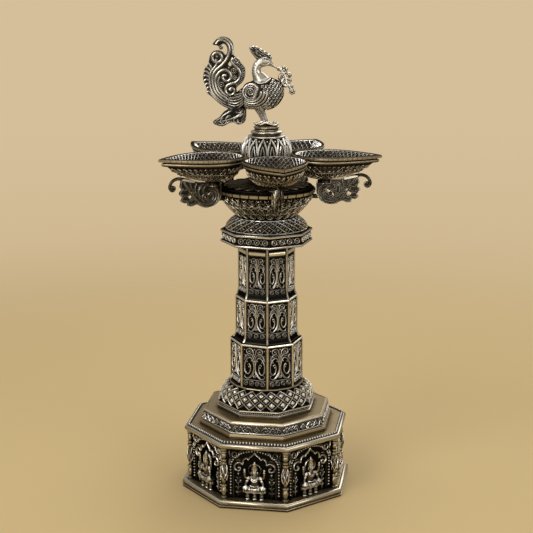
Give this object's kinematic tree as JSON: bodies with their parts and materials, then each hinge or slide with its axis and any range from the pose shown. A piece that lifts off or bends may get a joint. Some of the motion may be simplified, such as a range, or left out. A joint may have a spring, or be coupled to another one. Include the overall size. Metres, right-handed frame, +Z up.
{
  "type": "swan oil lamp",
  "caption": "Tall cast-brass oil lamp: octagonal pedestal and stepped column carry a round vessel, scroll brackets with pointed oil bowls, and a lotus knob topped by a long-tailed bird.",
  "frame": {"origin": "centre of the foot's underside, on the lamp's axis and in the plane that it stands on", "axes": "+Z up along the lamp's axis; -Y out of the pedestal's front panel, towards the viewer; +X to the viewer's right, the way the bird looks"},
  "size_m": [0.2782, 0.291, 0.6099],
  "materials": {
    "antique_brass": "cast, dark patina in the recesses",
    "rubbed_brass": "cast and rubbed bright",
    "zinc_steel": "zinc plated"
  },
  "bodies": {
    "stand": {"foot_ring": "rubbed_brass", "base_casing": "antique_brass", "corner_pillar_1": "rubbed_brass", "corner_pillar_2": "rubbed_brass", "corner_pillar_3": "rubbed_brass", "corner_pillar_4": "rubbed_brass", "corner_pillar_5": "rubbed_brass", "corner_pillar_6": "rubbed_brass", "corner_pillar_7": "rubbed_brass", "corner_pillar_8": "rubbed_brass", "niche_figure_1": "rubbed_brass", "niche_figure_2": "rubbed_brass", "niche_figure_3": "rubbed_brass", "niche_figure_4": "rubbed_brass", "niche_figure_5": "rubbed_brass", "niche_figure_6": "rubbed_brass", "niche_figure_7": "rubbed_brass", "niche_figure_8": "rubbed_brass", "base_deck": "rubbed_brass", "frieze_tier": "antique_brass", "bell_plinth": "rubbed_brass", "lattice_bell": "antique_brass", "base_socket": "rubbed_brass", "shaft_lower": "antique_brass", "shaft_middle": "antique_brass", "shaft_upper": "antique_brass", "cap_plate": "rubbed_brass", "cap_dome": "antique_brass", "tie_rod": "zinc_steel", "tie_nut_lower": "zinc_steel", "tie_nut_upper": "zinc_steel", "vessel": "antique_brass", "vessel_lid": "antique_brass", "arm_1": "antique_brass", "arm_2": "antique_brass", "arm_3": "antique_brass", "arm_4": "antique_brass", "arm_5": "antique_brass"},
    "finial": {"lotus_knob": "rubbed_brass", "knob_stud": "zinc_steel", "bird_plate": "rubbed_brass", "bird_body": "rubbed_brass", "bird_tail": "antique_brass"},
    "bowl_1": {"oil_bowl_1": "antique_brass"},
    "bowl_2": {"oil_bowl_2": "antique_brass"},
    "bowl_3": {"oil_bowl_3": "antique_brass"},
    "bowl_4": {"oil_bowl_4": "antique_brass"},
    "bowl_5": {"oil_bowl_5": "antique_brass"}
  },
  "joints": [
    {"name": "finial_lift", "type": "slide", "parent": "stand", "child": "finial", "axis": [0, 0, 1], "range_m": [0, 0.03]},
    {"name": "bowl_1_lift", "type": "slide", "parent": "stand", "child": "bowl_1", "axis": [0, 0, 1], "range_m": [0, 0.03]},
    {"name": "bowl_2_lift", "type": "slide", "parent": "stand", "child": "bowl_2", "axis": [0, 0, 1], "range_m": [0, 0.03]},
    {"name": "bowl_3_lift", "type": "slide", "parent": "stand", "child": "bowl_3", "axis": [0, 0, 1], "range_m": [0, 0.03]},
    {"name": "bowl_4_lift", "type": "slide", "parent": "stand", "child": "bowl_4", "axis": [0, 0, 1], "range_m": [0, 0.03]},
    {"name": "bowl_5_lift", "type": "slide", "parent": "stand", "child": "bowl_5", "axis": [0, 0, 1], "range_m": [0, 0.03]}
  ]
}
